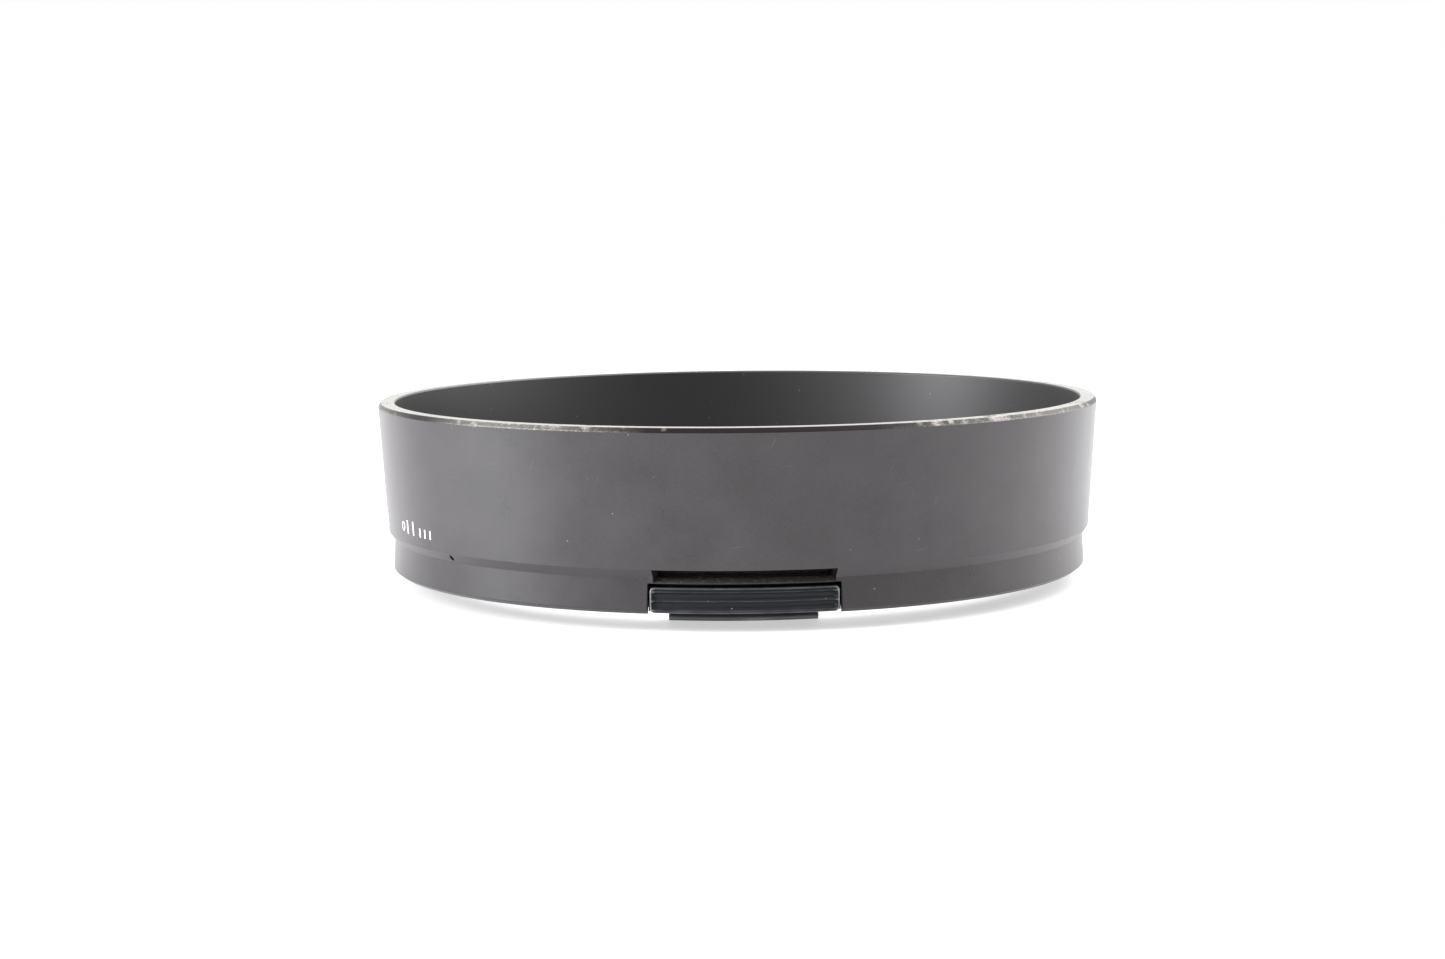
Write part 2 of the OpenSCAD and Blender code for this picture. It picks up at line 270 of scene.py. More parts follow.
# The same ABS inside the hood, spark-eroded in the tool to a fine matte so that it kills reflections
matteAbs = {
    "color": "#1d1c1c",
    "streak": "#222121",
    "dust": "#8d8a84",
    "roughness": (0.375, 0.41),
    "streakMm": 3.2,
    "cloudMm": 6.0,
    "sparkMm": 0.16,
    "wallR": 32.4,
    "ior": 1.53,
}


def makeMatteAbs(look):
    material, tree = newMaterial("absMouldedMatte")
    streaks = spread(tree, grain(tree, look["streakMm"], 2, (1, 1, 0.1)), 0.25, 0.75)
    clouds = spread(tree, grain(tree, look["cloudMm"], 3), 0.3, 0.7)
    wall = unrolled(tree, look["wallR"])
    lint, lintShade = scatter(tree, wall, 2.2, (0.12, 0.09), 0.35)
    base = blendColor(tree, combine(tree, "MULTIPLY", combine(tree, "ADD", streaks, clouds), 0.5),
                      hexColor(look["color"]), hexColor(look["streak"]))
    base = blendColor(tree, combine(tree, "MULTIPLY", lint, lintShade), base, hexColor(look["dust"]))
    low, high = look["roughness"]
    rough = spread(tree, combine(tree, "ADD", streaks, clouds), 0, 2, high, low)
    normal = bump(tree, grain(tree, look["sparkMm"], 3), 0.006, 0.5)
    shade(tree, {"IOR": look["ior"]}, {"Base Color": base, "Roughness": rough, "Normal": normal})
    return material


# Rim of the same ABS. The flat, on which the hood has stood, is rubbed smooth and pale and gleams;
# the bevel carries painted shade, a darker brown-black and a weaker reflection than the satin, and is scuffed
# pale where the hood has been knocked
rimLand = {
    "color": "#3d3b36",
    "pale": "#8d8a80",
    "roughness": (0.2, 0.36),
    "scuffMm": 0.1,
    "specular": 0.5,
    "ior": 1.53,
}
# Painted shade: the bevel's colour and reflection are set darker than the satin it is moulded from
rimBevel = {
    "color": "#120d0b",
    "pale": "#a9a59b",
    "roughness": (0.3, 0.5),
    "scuffMm": 0.1,
    "specular": 0.2,
    "ior": 1.53,
}


def makeRimAbs(name, look):
    material, tree = newMaterial(name)
    wear = attribute(tree, "wear")
    fine = grain(tree, look["scuffMm"], 4, (0.4, 0.4, 1))
    scuff = spread(tree, fine, 0.35, 0.65)
    patchy = combine(tree, "ADD", combine(tree, "MULTIPLY", scuff, 0.75), 0.25)
    pale = combine(tree, "MULTIPLY", wear, patchy)
    base = blendColor(tree, pale, hexColor(look["color"]), hexColor(look["pale"]))
    low, high = look["roughness"]
    rubbed = combine(tree, "MAXIMUM", pale, combine(tree, "MULTIPLY", scuff, 0.3))
    rough = spread(tree, rubbed, 0, 1, low, high)
    normal = bump(tree, fine, 0.006, 0.5)
    shade(tree, {"IOR": look["ior"], "Specular IOR Level": look["specular"]},
          {"Base Color": base, "Roughness": rough, "Normal": normal})
    return material


# Nylon-filled button moulding: blue-black and semi-matt, its ribs rubbed grey by fingertips and, with its
# raised rim, lightened further as a painted highlight
buttonNylon = {
    "color": "#0f1216",
    # worn grey serves for rubbed wear and for painted highlights on the rim and ribs
    "worn": "#8b8f90",
    "dust": "#9a9a94",
    "roughness": (0.34, 0.44),
    "faceR": 33.1,
    "specular": 0.23,
    "ior": 1.53,
}


def makeButtonNylon(look):
    material, tree = newMaterial("nylonMouldedButton")
    wear = attribute(tree, "wear")
    breakUp = spread(tree, grain(tree, 0.6, 4, (0.5, 0.5, 1)), 0.3, 0.62)
    patchy = combine(tree, "ADD", combine(tree, "MULTIPLY", breakUp, 0.65), 0.35)
    # Rubbed wear and painted highlight together, along the rim and the rib crests
    rubbed = combine(tree, "MULTIPLY", wear, patchy)
    lint, lintShade = scatter(tree, unrolled(tree, look["faceR"]), 1.1, (0.13, 0.09), 0.4)
    base = blendColor(tree, rubbed, hexColor(look["color"]), hexColor(look["worn"]))
    base = blendColor(tree, combine(tree, "MULTIPLY", lint, lintShade), base, hexColor(look["dust"]))
    low, high = look["roughness"]
    rough = spread(tree, grain(tree, 1.2, 3), 0.3, 0.7, low, high)
    normal = bump(tree, grain(tree, 0.12, 3), 0.004, 0.5)
    shade(tree, {"IOR": look["ior"], "Specular IOR Level": look["specular"]},
          {"Base Color": base, "Roughness": rough, "Normal": normal})
    return material


# Lampblack-filled ABS plate, fine sandy texture from the tool, dull where fingers don't reach
plateAbs = {"color": "#1a1a1b", "pale": "#3c3c3c", "roughness": (0.5, 0.62), "sandMm": 0.14, "ior": 1.53}


def makePlateAbs(look):
    material, tree = newMaterial("absSandyPlate")
    rubbed = spread(tree, grain(tree, 4.0, 4), 0.5, 0.8)
    marks, marksShade = scatter(tree, placeInMm(tree), 1.5, (2.2, 0.06), 0.5, 35)
    scratched = combine(tree, "MULTIPLY", marks, marksShade)
    pale = combine(tree, "MAXIMUM", combine(tree, "MULTIPLY", rubbed, 0.5), scratched)
    base = blendColor(tree, pale, hexColor(look["color"]), hexColor(look["pale"]))
    low, high = look["roughness"]
    rough = spread(tree, rubbed, 0, 1, high, low)
    normal = bump(tree, grain(tree, look["sandMm"], 2), 0.015, 0.7)
    shade(tree, {"IOR": look["ior"]}, {"Base Color": base, "Roughness": rough, "Normal": normal})
    return material


# Die-cast zinc jaw under black paint: satin, with bright metal where the thread rubs
zincPaint = {"paint": "#525254", "metal": "#a8a8a6", "roughness": 0.42}


def makeZincPaint(look):
    material, tree = newMaterial("zincPaintedBlack")
    edge = addNode(tree, "ShaderNodeNewGeometry").outputs["Pointiness"]
    chipped = spread(tree, grain(tree, 0.12, 4), 0.4, 0.7)
    bright = combine(tree, "MULTIPLY", spread(tree, edge, 0.54, 0.7), chipped)
    base = blendColor(tree, bright, hexColor(look["paint"]), hexColor(look["metal"]))
    normal = bump(tree, grain(tree, 0.2, 3), 0.006, 0.6)
    shade(tree, {"Roughness": look["roughness"]}, {"Base Color": base, "Metallic": bright, "Normal": normal})
    return material


# Drawn spring wire: bright steel with fine die lines along it
springSteel = {"color": "#c9c8c4", "roughness": (0.22, 0.36)}


def makeSpringSteel(look):
    material, tree = newMaterial("steelDrawnWire")
    lines = grain(tree, 0.08, 3)
    low, high = look["roughness"]
    rough = spread(tree, lines, 0.3, 0.7, low, high)
    shade(tree, {"Base Color": hexColor(look["color"]), "Metallic": 1.0},
          {"Roughness": rough, "Normal": bump(tree, lines, 0.002, 0.4)})
    return material


# Steel screw blackened in hot oxide: dark, slightly oily, bare where the driver has bitten
blackenedSteel = {"oxide": "#2b2a29", "bare": "#9b9892", "roughness": (0.32, 0.5)}


def makeBlackenedSteel(look):
    material, tree = newMaterial("steelBlackened")
    bare = combine(tree, "MULTIPLY", spread(tree, grain(tree, 0.12, 4), 0.55, 0.8), 0.35)
    base = blendColor(tree, bare, hexColor(look["oxide"]), hexColor(look["bare"]))
    low, high = look["roughness"]
    rough = spread(tree, grain(tree, 0.25, 3), 0.3, 0.7, low, high)
    shade(tree, {"Metallic": 1.0}, {"Base Color": base, "Roughness": rough,
                                   "Normal": bump(tree, grain(tree, 0.1, 3), 0.004, 0.5)})
    return material


# Pad-printed two-part ink: opaque white, dull, a little thin at its edges
whiteInk = {"color": "#f2f1ec", "thin": "#c9c8c4", "roughness": 0.55}


def makeWhiteInk(look):
    material, tree = newMaterial("inkPadPrinted")
    thin = spread(tree, grain(tree, 0.25, 4), 0.45, 0.75)
    base = blendColor(tree, combine(tree, "MULTIPLY", thin, 0.5), hexColor(look["color"]),
                      hexColor(look["thin"]))
    shade(tree, {"Roughness": look["roughness"]},
          {"Base Color": base, "Normal": bump(tree, grain(tree, 0.08, 2), 0.003, 0.5)})
    return material


# Opal acrylic light table: white, almost shadowless because it glows a little from below
opalAcrylic = {"color": "#bcbcbd", "light": "#ffffff", "glow": 0.52, "roughness": (0.42, 0.5)}


def makeTableTop(look):
    material, tree = newMaterial("acrylicOpal")
    low, high = look["roughness"]
    rough = spread(tree, grain(tree, 3.0, 3), 0.3, 0.7, low, high)
    shade(tree, {"Base Color": hexColor(look["color"]), "Emission Color": hexColor(look["light"]),
                 "Emission Strength": look["glow"]}, {"Roughness": rough})
    return material


satinOutside = makeSatinAbs("absMouldedSatin", satinAbs)
darkerBand = makeSatinAbs("absMouldedDarkerBand", weakerReflectionAbs)
matteInside = makeMatteAbs(matteAbs)
gleamingLand = makeRimAbs("absRimLand", rimLand)
shadedScuffedBevel = makeRimAbs("absRimBevelShaded", rimBevel)
buttonMaterial = makeButtonNylon(buttonNylon)
plateMaterial = makePlateAbs(plateAbs)
jawMaterial = makeZincPaint(zincPaint)
wireMaterial = makeSpringSteel(springSteel)
screwMaterial = makeBlackenedSteel(blackenedSteel)
inkMaterial = makeWhiteInk(whiteInk)
print("materials made")


def newObject(name, bm):
    mesh = bpy.data.meshes.new(name)
    bmesh.ops.recalc_face_normals(bm, faces=bm.faces)
    bm.to_mesh(mesh)
    bm.free()
    piece = bpy.data.objects.new(name, mesh)
    scene.collection.objects.link(piece)
    return piece


# Gives a finished piece its materials, in the order in which its faces name them
def dress(piece, *materials):
    piece.data.materials.clear()
    for material in materials:
        piece.data.materials.append(material)


# Keeps one value for each point or face, for a material to read
def keepValues(piece, name, domain, values):
    layer = piece.data.attributes.new(name, "FLOAT", domain)
    layer.data.foreach_set("value", values)


def smooth(piece, angleDeg):
    piece.data.shade_smooth()
    piece.data.set_sharp_from_angle(angle=math.radians(angleDeg))


# Joins or cuts with a closed tool mesh, then throws the tool away
def carve(piece, tool, how):
    modifier = piece.modifiers.new("carve", "BOOLEAN")
    modifier.operation = how
    modifier.solver = "MANIFOLD"
    modifier.object = tool
    applyModifiers(piece)
    bpy.data.objects.remove(tool)


def applyModifiers(piece):
    graph = bpy.context.evaluated_depsgraph_get()
    finished = piece.evaluated_get(graph)
    mesh = bpy.data.meshes.new_from_object(finished, preserve_all_data_layers=True, depsgraph=graph)
    old = piece.data
    piece.modifiers.clear()
    piece.data = mesh
    mesh.name = piece.name
    bpy.data.meshes.remove(old)


# Rounds the corners of an outline. Each corner is (across, up, rounding), all in millimetres.
# A guard point before and after each rounding keeps the flats between them shaded flat
def roundCorners(corners, steps=4, guard=0.04):
    points = []
    count = len(corners)
    for i, (x, y, rounding) in enumerate(corners):
        here = Vector((x, y))
        if rounding == 0:
            points.append(here)
            continue
        back = (Vector(corners[i - 1][:2]) - here).normalized()
        ahead = (Vector(corners[(i + 1) % count][:2]) - here).normalized()
        half = back.angle(ahead) / 2
        reach = rounding / math.tan(half)
        center = here + (back + ahead).normalized() * rounding / math.sin(half)
        start = here + back * reach - center
        end = here + ahead * reach - center
        turn = start.angle_signed(end)
        points.append(here + back * (reach + guard))
        for k in range(steps + 1):
            points.append(center + Matrix.Rotation(-turn * k / steps, 2) @ start)
        points.append(here + ahead * (reach + guard))
    return points


# Turns a closed outline about Z
def turned(outline, steps):
    bm = bmesh.new()
    rings = []
    for i in range(steps):
        a = 2 * math.pi * i / steps
        c, s = math.cos(a), math.sin(a)
        rings.append([bm.verts.new((p.x * c * mm, p.x * s * mm, p.y * mm)) for p in outline])
    for i in range(steps):
        here, there = rings[i], rings[(i + 1) % steps]
        for k in range(len(outline)):
            m = (k + 1) % len(outline)
            bm.faces.new((here[k], there[k], there[m], here[m]))
    return bm


# Turns a closed outline about Z through a sector centred on -Y
def sector(outline, halfDeg, turn, steps=96):
    bm = bmesh.new()
    rings = []
    for i in range(steps + 1):
        a = math.radians(halfDeg) * (2 * i / steps - 1)
        spots = [Vector((p.x * math.sin(a), -p.x * math.cos(a), p.y)) for p in outline]
        rings.append([bm.verts.new(turn @ spot * mm) for spot in spots])
    for here, there in zip(rings, rings[1:]):
        for k in range(len(outline)):
            m = (k + 1) % len(outline)
            bm.faces.new((here[k], there[k], there[m], here[m]))
    bm.faces.new(rings[0])
    bm.faces.new(rings[-1][::-1])
    return bm


# Pushes a closed outline in mm along Z from low to high, then turns it into place
def prism(outline, low, high, turn=Matrix.Identity(3)):
    bm = bmesh.new()
    low, high = ([bm.verts.new(turn @ Vector((x, y, z)) * mm) for x, y in outline] for z in (low, high))
    bm.faces.new(low[::-1])
    bm.faces.new(high)
    for i in range(len(outline)):
        k = (i + 1) % len(outline)
        bm.faces.new((low[i], low[k], high[k], high[i]))
    return bm


def circle(radius, steps, x=0, y=0):
    turns = [2 * math.pi * i / steps for i in range(steps)]
    return [(x + radius * math.cos(a), y + radius * math.sin(a)) for a in turns]


def rectangle(x0, x1, y0, y1):
    return [(x0, y0), (x1, y0), (x1, y1), (x0, y1)]


def aboutZ(angleDeg):
    return Matrix.Rotation(math.radians(angleDeg), 3, "Z")


# Turn that stands a prism out along -Y
alongY = Matrix(((1, 0, 0), (0, 0, -1), (0, 1, 0)))
sideTurns = {"front": 0, "rear": 180}


# Azimuth in degrees, from the front button at -Y towards +X, and distance from the axis in mm
def polar(point):
    return math.degrees(math.atan2(point.x, -point.y)), math.hypot(point.x, point.y) / mm


# Hood shell: one moulding. The skirt, its rim and the band come from the frame, the rest is its own detail
shellLow, shellHigh = (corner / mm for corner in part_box("hood_shell"))
shellShape = {
    "bandR": 33.0,
    "bandLowR": 33.14,
    "bandZ": shellLow.z,
    "bandInnerR": 31.6,
    "stepZ": 4.55,
    "skirtZ": 5.36,
    "skirtR": 33.56,
    "rimR": shellHigh.x,
    "rimZ": shellHigh.z,
    "rimWall": 1.6,
    "rimBevel": 0.4,
    "rimBevelIn": 0.24,
    "skirtInnerR": 31.96,
    "floorZ": 6.05,
    "roofZ": 4.15,
    "seatZ": 2.35,
    "apertureR": 26.0,
    "lipR": 27.2,
    "trapRadii": (30.6, 29.6, 28.6, 27.6),
    "notchHalfW": 8.2,
    "notchInY": 29.0,
    "notchEase": 0.04,
    "windowHalfW": 10.0,
    "windowOutY": 30.0,
    "windowInY": 22.0,
    "scoopHalfW": 7.75,
    "scoopBackR": 30.9,
    "scoopRoofR": 32.6,
    "scoopLip": 0.05,
    "shelfEdge": (31.9, 4.55),
    "screwCircleR": 29.4,
    "bossR": 1.9,
    "screwHoleR": 0.74,
    "screwHoleTopZ": 5.05,
    "ribAngles": (0, 24, -24),
    "ribHalfW": 0.4,
    "stopInX": 7.05,
    "stopOutY": 25.9,
    "stopInY": 23.4,
    "joinMm": 0.1,
    "pitAzimuthDeg": -50.7,
    "pitR": 0.25,
    "pitDeep": 0.4,
    "wallSlope": 0.0665,
    "steps": 1200,
}


def rimRows(shape):
    r, z, bevel, inward = shape["rimR"], shape["rimZ"], shape["rimBevel"], shape["rimBevelIn"]
    slope = (r - shape["skirtR"]) / (z - bevel - shape["skirtZ"])
    rows = [(r - slope * drop, z - bevel - drop, 0) for drop in (2.4, 1.2, 0.6, 0.35, 0.18)]
    rows.append((r, z - bevel, 0.08))
    rows += [(r - inward * t, z - bevel + bevel * t, 0) for t in (0.38, 0.5, 0.62)]
    rows.append((r - inward, z, 0.06))
    inner = r - shape["rimWall"]
    land = r - inward - inner - 0.15
    rows += [(r - inward - land * t, z, 0) for t in (0.25, 0.4, 0.55, 0.7)]
    return rows + [(inner + 0.15, z, 0.05), (inner, z - 0.15, 0.05)]


def shellOutline(shape):
    floor = shape["floorZ"]
    corners = [(shape["bandR"] - 0.25, shape["bandZ"], 0.05), (shape["bandLowR"], shape["bandZ"] + 0.3, 0.12),
               (shape["bandR"], shape["stepZ"], 0.06), (shape["skirtR"], shape["skirtZ"], 0.05)]
    corners += rimRows(shape)
    corners.append((shape["skirtInnerR"], floor, 0.7))
    for r in shape["trapRadii"]:
        corners += [(r + 0.3, floor, 0), (r, floor - 0.25, 0), (r - 0.3, floor, 0)]
    corners += [(shape["apertureR"] + 0.3, floor, 0.05), (shape["apertureR"], floor - 0.3, 0.05),
                (shape["apertureR"], shape["seatZ"], 0.05), (shape["lipR"], shape["seatZ"], 0.05),
                (shape["lipR"], shape["roofZ"], 0), (shape["bandInnerR"], shape["roofZ"], 0),
                (shape["bandInnerR"], shape["bandZ"], 0.05)]
    return roundCorners(corners)


# Notch for the button, its outer edges eased a little, with the slanted finger scoop above it
def cutNotch(shell, shape, turn):
    half, roof, inY = shape["notchHalfW"], shape["roofZ"], shape["notchInY"]
    easeY = math.sqrt(shape["bandR"] ** 2 - half ** 2) - shape["notchEase"]
    flare = 3
    outline = [(-half, -inY), (-half, -easeY), (-half - flare, -easeY - flare),
               (half + flare, -easeY - flare), (half, -easeY), (half, -inY)]
    carve(shell, newObject("notch", prism(outline, 0, roof, turn)), "DIFFERENCE")
    wide = shape["windowHalfW"]
    window = rectangle(-wide, wide, -shape["windowOutY"], -shape["windowInY"])
    carve(shell, newObject("window", prism(window, 0, roof, turn)), "DIFFERENCE")
    skirt, lipZ = shape["skirtZ"], roof + shape["scoopLip"]
    shelfR, shelfZ = shape["shelfEdge"]
    outR = shape["bandR"] + 1
    outZ = lipZ - (shelfZ - lipZ) / (shape["bandR"] - shelfR)
    scoop = roundCorners([(outR, outZ, 0), (shelfR, shelfZ, 0.08), (shape["scoopBackR"], shelfZ, 0.03),
                          (shape["scoopRoofR"], skirt, 0), (outR, skirt, 0)], guard=0.02)
    halfDeg = math.degrees(math.asin(shape["scoopHalfW"] / shape["bandR"]))
    carve(shell, newObject("scoop", sector(scoop, halfDeg, turn)), "DIFFERENCE")


# Posts that the return springs push against, two at each button
def addStops(shell, shape, turn):
    join = shape["joinMm"]
    for hand in (-1, 1):
        left, right = sorted((hand * shape["stopInX"], hand * (shape["windowHalfW"] + join)))
        plan = rectangle(left, right, -shape["stopOutY"], -shape["stopInY"])
        stop = newObject("stop", prism(plan, shape["seatZ"], shape["roofZ"] + join, turn))
        bore = newObject("bore", prism(circle(shape["apertureR"], 400), 0, 6))
        carve(stop, bore, "DIFFERENCE")
        carve(shell, stop, "UNION")


def addInnerDetail(shell, shape):
    seat, join, half = shape["seatZ"], shape["joinMm"], shape["ribHalfW"]
    top = shape["roofZ"] + join
    for side in (0, 180):
        for angle in shape["ribAngles"]:
            plan = rectangle(shape["lipR"] - join, shape["bandInnerR"] + join, -half, half)
            carve(shell, newObject("rib", prism(plan, seat, top, aboutZ(side + angle))), "UNION")
    for i in range(4):
        turn = aboutZ(45 + 90 * i)
        boss = prism(circle(shape["bossR"], 64, shape["screwCircleR"]), seat, top, turn)
        carve(shell, newObject("boss", boss), "UNION")
        hole = prism(circle(shape["screwHoleR"], 48, shape["screwCircleR"]), 0, shape["screwHoleTopZ"], turn)
        carve(shell, newObject("hole", hole), "DIFFERENCE")
    middleZ = (shape["stepZ"] + shape["skirtZ"]) / 2
    pitFloor = (shape["bandR"] + shape["skirtR"]) / 2 - shape["pitDeep"]
    pitTurn = aboutZ(shape["pitAzimuthDeg"]) @ alongY
    pit = prism(circle(shape["pitR"], 32, 0, middleZ), pitFloor, 36, pitTurn)
    carve(shell, newObject("pit", pit), "DIFFERENCE")


# Knocks on the rim: where along it, how long, how high on the edge, and how deep, in degrees and mm
rimWear = {
    "seed": 11,
    "knownKnocks": [(29.0, 0.7, 17.35, 0.1), (31.5, 0.35, 17.4, 0.14), (34.0, 0.5, 17.3, 0.08),
                    (40.5, 1.2, 17.42, 0.13), (42.5, 0.6, 17.3, 0.12), (66.0, 0.8, 17.4, 0.12),
                    (69.5, 0.5, 17.3, 0.1), (-23.0, 0.5, 17.4, 0.06), (-28.0, 0.8, 17.4, 0.05),
                    (-81.0, 0.9, 17.35, 0.08)],
    "wornArcs": [(-34.0, 17.0, 0.7), (48.0, 24.0, 0.7), (-85.0, 22.0, 0.75), (150.0, 40.0, 0.3),
                 (-140.0, 30.0, 0.35), (95.0, 14.0, 0.6)],
    "smallKnocks": 70,
    "keptInside": 0.5,
}


def rimKnocks(wear):
    draw = random.Random(wear["seed"])
    knocks = list(wear["knownKnocks"])
    while len(knocks) < len(wear["knownKnocks"]) + wear["smallKnocks"]:
        azimuth = draw.uniform(-180, 180)
        if draw.random() < 0.15 + wornShare(wear, azimuth):
            reach, height = draw.uniform(0.12, 0.4), draw.uniform(17.15, 17.48)
            knocks.append((azimuth, reach, height, draw.uniform(0.02, 0.06)))
    return knocks


# How worn the rim is at an azimuth, from 0 to 1
def wornShare(wear, azimuth):
    share = 0
    for middle, reach, amount in wear["wornArcs"]:
        away = abs((azimuth - middle + 180) % 360 - 180) / reach
        share = max(share, amount * max(0, 1 - max(0, away - 0.6) / 0.6))
    return share


def wearRim(shell, shape, wear):
    mesh = shell.data
    knocks = rimKnocks(wear)
    worn = [0.0] * len(mesh.vertices)
    edgeZ = shape["rimZ"] - shape["rimBevel"]
    for i, vertex in enumerate(mesh.vertices):
        z = vertex.co.z / mm
        azimuth, r = polar(vertex.co)
        if z < edgeZ - 2.5 or r < shape["rimR"] - shape["rimWall"] - 0.05:
            continue
        share = wornShare(wear, azimuth)
        onOuterHalf = r > shape["rimR"] - shape["rimWall"] + wear["keptInside"]
        dent = 0
        for middle, reach, height, depth in knocks:
            away = ((azimuth - middle + 180) % 360 - 180) * math.radians(shape["rimR"]) / reach
            rise = (z - height) / (0.16 + reach * 0.2)
            near = 1 - away * away - rise * rise
            if near > 0 and abs(away) < 1 and onOuterHalf:
                dent = max(dent, depth * near)
        onEdge = max(0, 1 - abs(z - edgeZ) / 0.12) + max(0, 1 - (shape["rimZ"] - z) / 0.06)
        worn[i] = min(1, share * (0.3 + 0.5 * onEdge) * (z > edgeZ - 0.2) + dent * 8)
        if dent > 0:
            outward = Vector((vertex.co.x, vertex.co.y, 0)).normalized()
            down = 0.8 * min(1, max(0, (z - edgeZ) / shape["rimBevel"]))
            vertex.co -= (outward + Vector((0, 0, down))) * dent * mm
    keepValues(shell, "wear", "POINT", worn)


# Outside, rim and inside are moulded and worn differently, the bevel's material also carries painted shade
# and the band's reflects more weakly, so each face gets its material by place
def paintShell(shell, shape):
    edgeZ = shape["rimZ"] - shape["rimBevel"]
    dusty = []
    for face in shell.data.polygons:
        z = face.center.z / mm
        r = math.hypot(face.center.x, face.center.y) / mm
        innerR = shape["skirtInnerR"] + (z - shape["floorZ"]) * shape["wallSlope"]
        if z > shape["rimZ"] - 0.03 and r > shape["rimR"] - shape["rimWall"] - 0.02:
            face.material_index = 3
        elif z > edgeZ - 0.03 and r > shape["rimR"] - shape["rimWall"] + 0.3:
            face.material_index = 1
        elif z > shape["floorZ"] - 0.4 and r < innerR + 0.5 or z < shape["floorZ"] and r < 30.7:
            face.material_index = 2
        else:
            # Faces below the step take the copy with weaker reflection, which makes the band darker
            face.material_index = 4 if z < shape["stepZ"] else 0
        inScoop = shape["roofZ"] - 0.02 < z < 4.8 and r < shape["bandR"] - 0.02 and r > 30.7
        dusty.append(1.0 if inScoop and face.normal.z > 0.5 else 0.0)
    keepValues(shell, "dusty", "FACE", dusty)


def makeShell(shape, wear):
    shell = newObject("hoodShell", turned(shellOutline(shape), shape["steps"]))
    for side in sideTurns.values():
        cutNotch(shell, shape, aboutZ(side))
        addStops(shell, shape, aboutZ(side))
    addInnerDetail(shell, shape)
    wearRim(shell, shape, wear)
    dress(shell, satinOutside, shadedScuffedBevel, matteInside, gleamingLand, darkerBand)
    paintShell(shell, shape)
    smooth(shell, 28)
    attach(shell, "hood")
    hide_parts("hood_shell")


makeShell(shellShape, rimWear)
print("hood shell made")


# Button face: two cupped grooves and a hairline inside a thin raised rim, all in mm
buttonShape = {
    "halfW": 8.05,
    "lowZ": 1.62,
    "highZ": 3.80,
    "faceR": 33.1,
    "backR": 31.2,
    "cornerR": 0.4,
    "edgeR": 0.1,
    "grooveR": 0.46,
    "grooveDepth": 0.27,
    "grooveZ": (2.28, 3.0),
    "grooveEnd": 0.2,
    "hairZ": 3.54,
    "hairR": 0.07,
    "flangeHalfW": 8.15,
    "flangeR": 32.3,
    "flangeRise": 0.04,
    "bridgeLowZ": 2.45,
    "bridgeHighZ": 4.05,
    "bridgeOuterR": 31.5,
    "bridgeInnerR": 29.9,
    "bridgeHalfW": 10.4,
    "wingInnerX": 7.3,
    "wingY": 28.8,
    "tongueHalfW": 5.2,
    "tongueOutY": 30.4,
    "tongueInY": 27.6,
    "tongueLowZ": 3.3,
    "stakeX": 3.4,
    "stakeY": 28.5,
    "stakeR": 0.55,
    "stakeTopZ": 3.4,
    "springX": 8.7,
    "springZ": 3.25,
    "spigotR": 0.42,
    "spigotInY": 28.0,
    "spigotOutY": 29.2,
    "ribZ": (1.86, 2.64, 3.44),
    "frontR": 32.5,
}


# Distance from a point of the face to its rounded outline, positive inside
def insetOf(shape, x, z):
    middle, radius = (shape["lowZ"] + shape["highZ"]) / 2, shape["cornerR"]
    dx = abs(x) - (shape["halfW"] - radius)
    dz = abs(z - middle) - ((shape["highZ"] - shape["lowZ"]) / 2 - radius)
    return radius - math.hypot(max(dx, 0), max(dz, 0)) - min(max(dx, dz), 0)


def faceDepth(shape, x, z):
    inset, edge = insetOf(shape, x, z), shape["edgeR"]
    depth = edge - math.sqrt(max(0, edge ** 2 - (edge - min(inset, edge)) ** 2))
    radius = shape["grooveR"]
    sunk = radius - shape["grooveDepth"]
    reach = math.sqrt(radius ** 2 - sunk ** 2)
    straight = shape["halfW"] - shape["grooveEnd"] - reach
    for grooveZ in shape["grooveZ"]:
        off = math.hypot(max(0, abs(x) - straight), z - grooveZ)
        if off < reach:
            depth = max(depth, math.sqrt(radius ** 2 - off ** 2) - sunk)
    off = math.hypot(max(0, abs(x) - straight - 0.25), z - shape["hairZ"])
    if off < shape["hairR"]:
        depth = max(depth, math.sqrt(shape["hairR"] ** 2 - off ** 2))
    return depth


# Columns of the face, closer together towards its two ends
def faceColumns(shape):
    ends, middle, half = 30, 44, shape["halfW"]
    inner = half - 1.2
    columns = [-half + (half - inner) * i / ends for i in range(ends)]
    columns += [-inner + 2 * inner * i / middle for i in range(middle)]
    return columns + [inner + (half - inner) * i / ends for i in range(ends + 1)]


